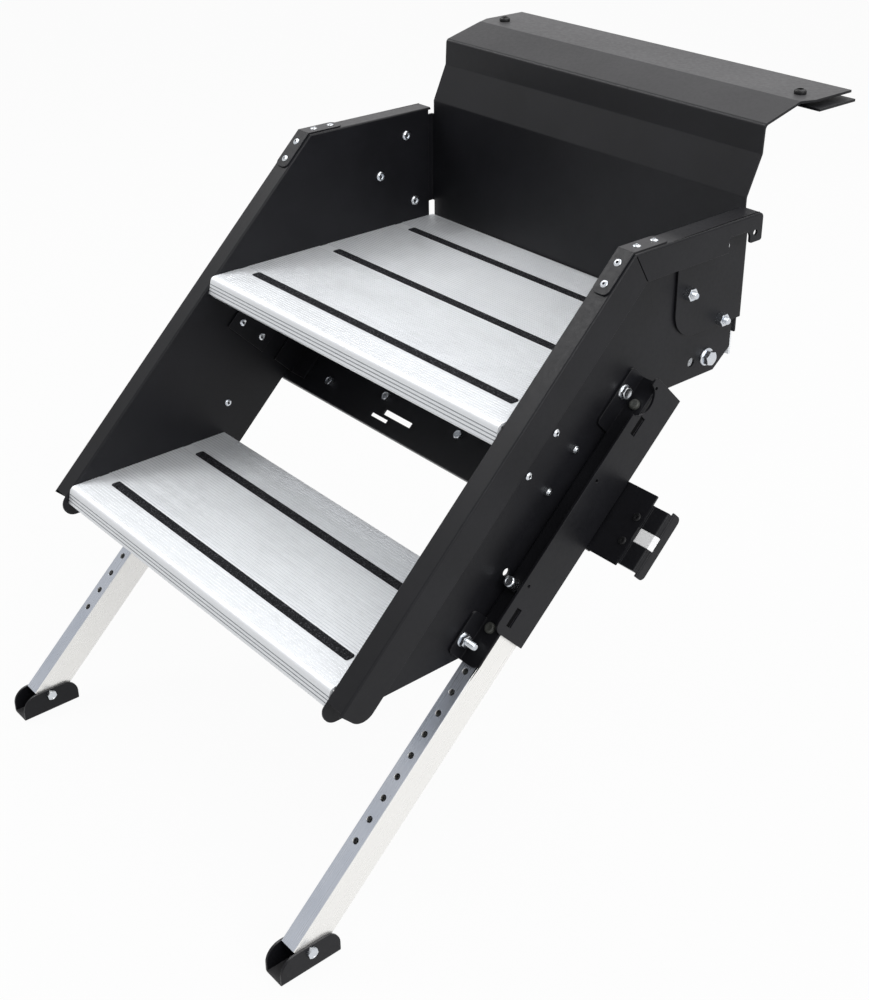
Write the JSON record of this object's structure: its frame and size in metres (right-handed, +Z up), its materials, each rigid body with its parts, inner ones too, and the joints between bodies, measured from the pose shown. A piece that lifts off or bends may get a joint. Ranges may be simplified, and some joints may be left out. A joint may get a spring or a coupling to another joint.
{
  "type": "caravan entry step",
  "caption": "Fold-up caravan entry step: black folded-steel sides and threshold, ribbed aluminium treads with grip strips, adjustable legs with tilting feet.",
  "frame": {"origin": "centre of the floor plate's underside, where it sits on the caravan floor", "axes": "+X to the right across the step, +Y into the caravan, +Z up"},
  "size_m": [0.71, 0.8338, 0.7693],
  "materials": {
    "powder_coat": "satin black powder coat on folded steel",
    "tread_aluminium": "ribbed mill-finish extrusion",
    "leg_aluminium": "plain drawn tube",
    "zinc": "bright zinc plate",
    "grip": "gritty anti-slip strip",
    "buffer_rubber": "plain moulded rubber",
    "black_hardware": "blackened bolt",
    "glide_plastic": "dull moulded plastic",
    "tongue_nylon": "white moulded nylon"
  },
  "bodies": {
    "floor_mount": {"floor_hinge_plate": "powder_coat", "hinge_pins": "zinc"},
    "step": {"threshold_riser": "powder_coat", "buffer_bolts": "black_hardware", "rubber_buffers": "buffer_rubber", "side_panel_left": "powder_coat", "side_panel_right": "powder_coat", "corner_gusset_left": "powder_coat", "corner_gusset_right": "powder_coat", "gusset_rivets": "zinc", "ear_bolts": "zinc", "ear_nuts": "zinc", "flange_bolts": "zinc", "flange_nuts": "zinc", "upper_tread": "tread_aluminium", "lower_tread": "tread_aluminium", "upper_grip_strips": "grip", "lower_grip_strips": "grip", "upper_bracket_left": "powder_coat", "upper_bracket_right": "powder_coat", "lower_bracket_left": "powder_coat", "lower_bracket_right": "powder_coat", "bracket_bolts": "zinc", "bracket_nuts": "zinc", "bracket_rivets": "zinc", "latch_panel": "powder_coat", "latch_bracket_left": "powder_coat", "latch_bracket_right": "powder_coat", "latch_bolts": "zinc", "latch_nuts": "zinc", "latch_guide_left": "powder_coat", "latch_guide_right": "powder_coat", "guide_screws": "black_hardware", "leg_sleeve_left": "powder_coat", "leg_sleeve_right": "powder_coat", "sleeve_bolts": "zinc", "sleeve_nuts": "zinc", "glide_buttons": "glide_plastic"},
    "leg_left": {"leg_tube_left": "leg_aluminium"},
    "foot_pad_left": {"foot_left": "powder_coat", "foot_bolt_left": "zinc"},
    "tongue_left": {"latch_tongue_left": "tongue_nylon"},
    "pin_left": {"snap_pin_left": "zinc"},
    "leg_right": {"leg_tube_right": "leg_aluminium"},
    "foot_pad_right": {"foot_right": "powder_coat", "foot_bolt_right": "zinc"},
    "tongue_right": {"latch_tongue_right": "tongue_nylon"},
    "pin_right": {"snap_pin_right": "zinc"}
  },
  "joints": [
    {"name": "step_fold", "type": "hinge", "parent": "floor_mount", "child": "step", "pos_m": [0, 0.03485, 0.0055], "axis": [-1, 0, 0], "range_deg": [0, 134]},
    {"name": "leg_slide_left", "type": "slide", "parent": "step", "child": "leg_left", "axis": [0, -0.7254, -0.6884], "range_m": [-0.254, 0.1016]},
    {"name": "foot_tilt_left", "type": "hinge", "parent": "leg_left", "child": "foot_pad_left", "pos_m": [-0.2783, -0.75979, -0.7278], "axis": [1, 0, 0], "range_deg": [-35, 35]},
    {"name": "latch_press_left", "type": "slide", "parent": "step", "child": "tongue_left", "axis": [1, 0, 0], "range_m": [0, 0.016], "stiffness_N_per_m": 300},
    {"name": "pin_pull_left", "type": "slide", "parent": "step", "child": "pin_left", "axis": [0, -0.6884, 0.7254], "range_m": [0, 0.01], "stiffness_N_per_m": 400},
    {"name": "leg_slide_right", "type": "slide", "parent": "step", "child": "leg_right", "axis": [0, -0.7254, -0.6884], "range_m": [-0.254, 0.1016]},
    {"name": "foot_tilt_right", "type": "hinge", "parent": "leg_right", "child": "foot_pad_right", "pos_m": [0.2783, -0.75979, -0.7278], "axis": [1, 0, 0], "range_deg": [-35, 35]},
    {"name": "latch_press_right", "type": "slide", "parent": "step", "child": "tongue_right", "axis": [-1, 0, 0], "range_m": [0, 0.016], "stiffness_N_per_m": 300},
    {"name": "pin_pull_right", "type": "slide", "parent": "step", "child": "pin_right", "axis": [0, -0.6884, 0.7254], "range_m": [0, 0.01], "stiffness_N_per_m": 400}
  ]
}
